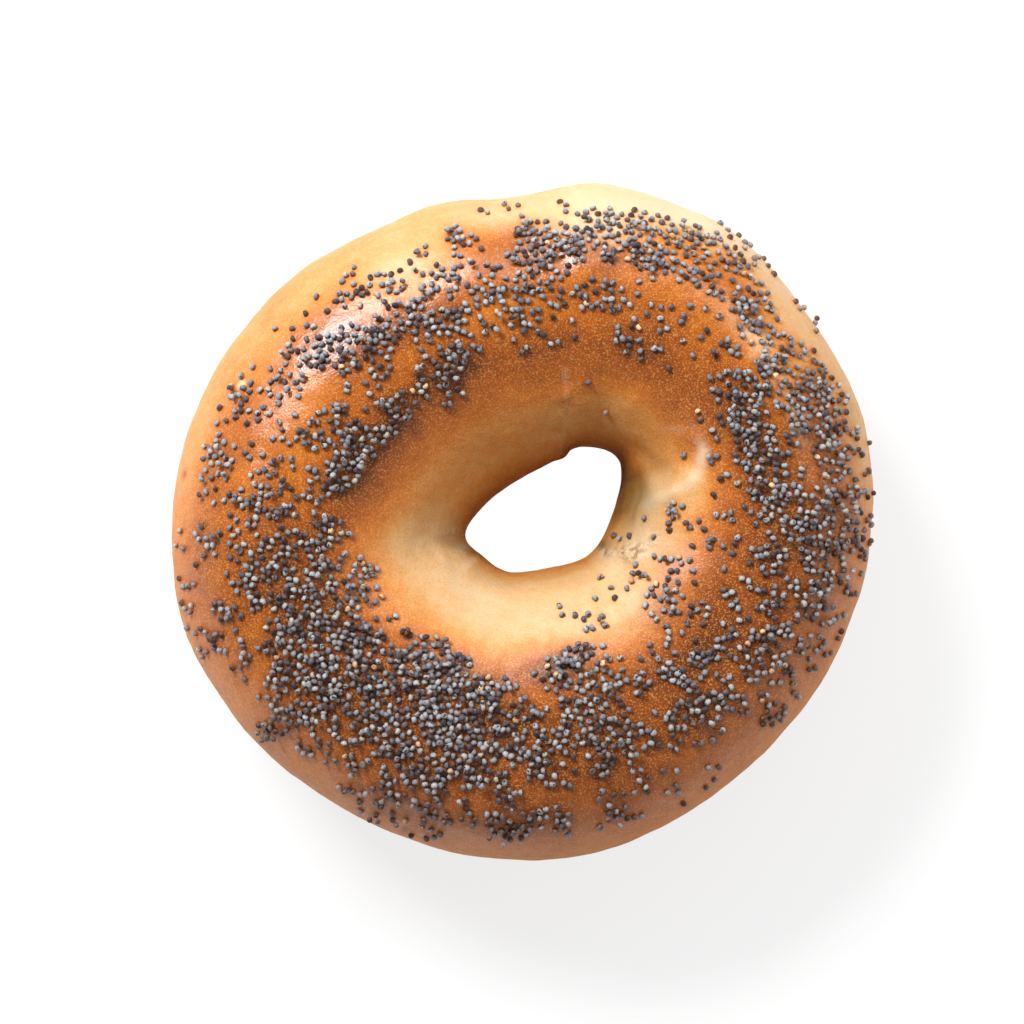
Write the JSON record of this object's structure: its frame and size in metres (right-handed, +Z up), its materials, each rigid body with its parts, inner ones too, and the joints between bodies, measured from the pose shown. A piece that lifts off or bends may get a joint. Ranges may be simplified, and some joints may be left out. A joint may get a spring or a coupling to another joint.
{
  "type": "bagel",
  "caption": "Hand-rolled ring of baked dough with a small slanted hole, a lapped seam and a flat base; its top is strewn with poppy seeds.",
  "frame": {"origin": "middle of the footprint's box, on the surface that the base rests on", "axes": "+Z up, out of the seeded top; +X along the longer way across the ring; the lapped seam lies near +Y"},
  "size_m": [0.1098, 0.106, 0.039],
  "materials": {
    "crust": "satin",
    "poppy_seed": "matte"
  },
  "bodies": {
    "root": {"bagel": "crust"}
  },
  "joints": []
}
